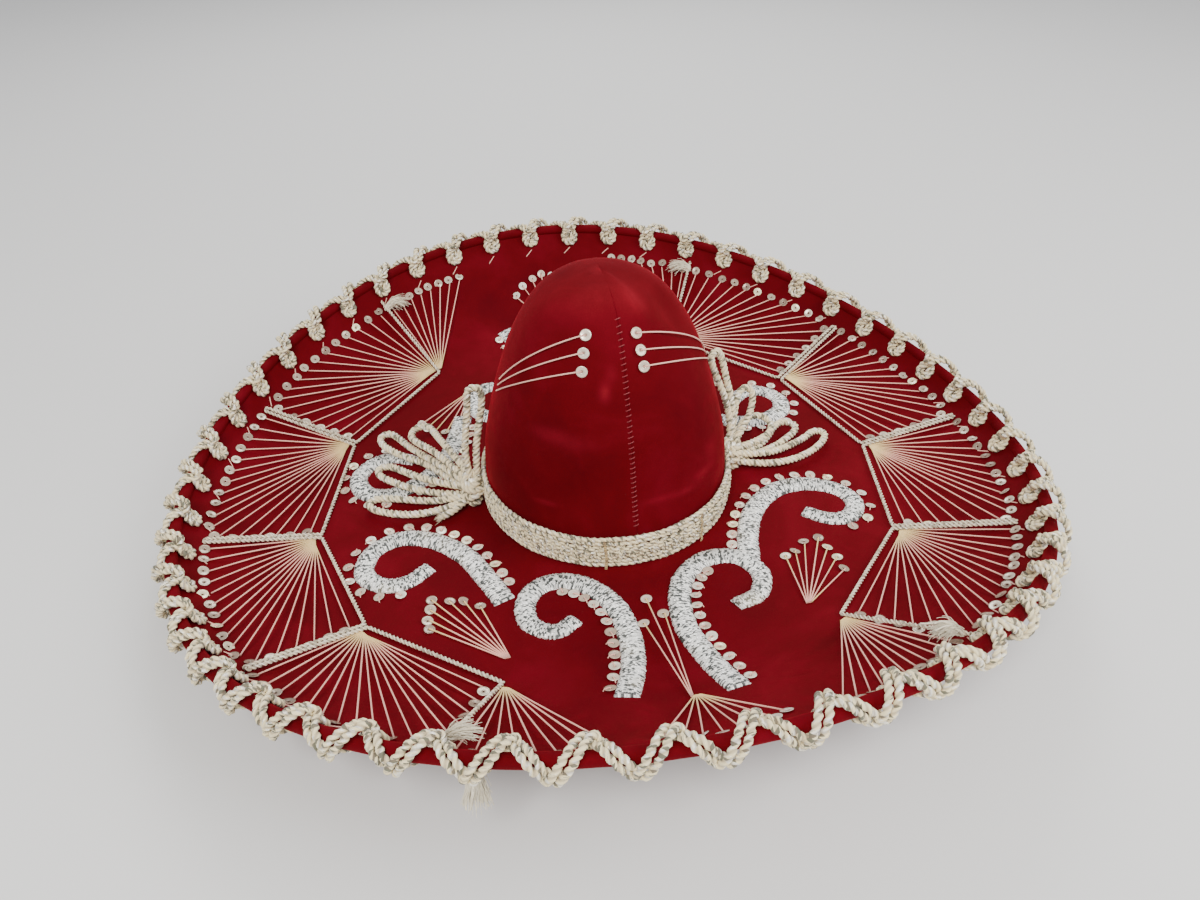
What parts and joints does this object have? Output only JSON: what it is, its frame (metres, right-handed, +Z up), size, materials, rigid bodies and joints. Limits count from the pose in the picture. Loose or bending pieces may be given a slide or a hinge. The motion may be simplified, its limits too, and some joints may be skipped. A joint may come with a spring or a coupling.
{
  "type": "sombrero",
  "caption": "Wide-brimmed red velvet sombrero with a tapered crown, plaited hat band with side bows, laced rim cord, thread fans, sequins and raised silver scrolls.",
  "frame": {"origin": "on the surface the hat stands on, under the middle of the brim", "axes": "+Z up through the crown, the front of the hat toward -Y, the wearer's left toward +X"},
  "size_m": [0.5862, 0.5764, 0.1743],
  "materials": {
    "velvet": "deep red pile velvet, slightly worn",
    "stiff_board": "pressed fibre board",
    "edge_wire": "plain drawn wire",
    "lining": "thin woven lining",
    "sweatband": "smooth thin leather",
    "sequin": "pearly translucent film",
    "silver_embroidery": "satin-stitched metallic thread over padding",
    "thread": "pale twisted thread",
    "red_thread": "red sewing thread",
    "cord": "twisted cream cord with silver flecks"
  },
  "bodies": {
    "root": {"back_hourglass_sequins": "sequin", "back_hourglass_threads": "thread", "back_left_inner_scroll": "silver_embroidery", "back_left_outer_scroll": "silver_embroidery", "back_right_inner_scroll": "silver_embroidery", "back_right_outer_scroll": "silver_embroidery", "back_web_cord_tufts": "cord", "brim_board": "stiff_board", "brim_velvet_top": "velvet", "brim_velvet_under": "velvet", "crown_lining": "lining", "crown_seam_stitches": "red_thread", "crown_sequins_left": "sequin", "crown_sequins_right": "sequin", "crown_shell": "stiff_board", "crown_threads_left": "thread", "crown_threads_right": "thread", "crown_velvet_left": "velvet", "crown_velvet_right": "velvet", "front_hourglass_sequins": "sequin", "front_hourglass_threads": "thread", "front_left_inner_scroll": "silver_embroidery", "front_left_outer_scroll": "silver_embroidery", "front_right_inner_scroll": "silver_embroidery", "front_right_outer_scroll": "silver_embroidery", "front_web_cord_tufts": "cord", "hat_band_lower_cords": "cord", "hat_band_plait": "cord", "hat_band_ties": "thread", "hat_band_upper_cords": "cord", "left_bow_knot": "cord", "left_bow_loop_1": "cord", "left_bow_loop_2": "cord", "left_bow_loop_3": "cord", "left_bow_loop_4": "cord", "left_bow_loop_5": "cord", "left_fan_sequins": "sequin", "left_fan_threads": "thread", "left_scroll_sequins": "sequin", "left_small_fan_sequins": "sequin", "left_small_fan_threads": "thread", "left_web_cord": "cord", "right_bow_knot": "cord", "right_bow_loop_1": "cord", "right_bow_loop_2": "cord", "right_bow_loop_3": "cord", "right_bow_loop_4": "cord", "right_bow_loop_5": "cord", "right_fan_sequins": "sequin", "right_fan_threads": "thread", "right_scroll_sequins": "sequin", "right_small_fan_sequins": "sequin", "right_small_fan_threads": "thread", "right_web_cord": "cord", "rim_cord_inner_strand": "cord", "rim_cord_outer_strand": "cord", "rim_cord_tacks": "thread", "rim_edge_wire": "edge_wire", "rim_velvet_roll": "velvet", "sweatband": "sweatband"}
  },
  "joints": []
}
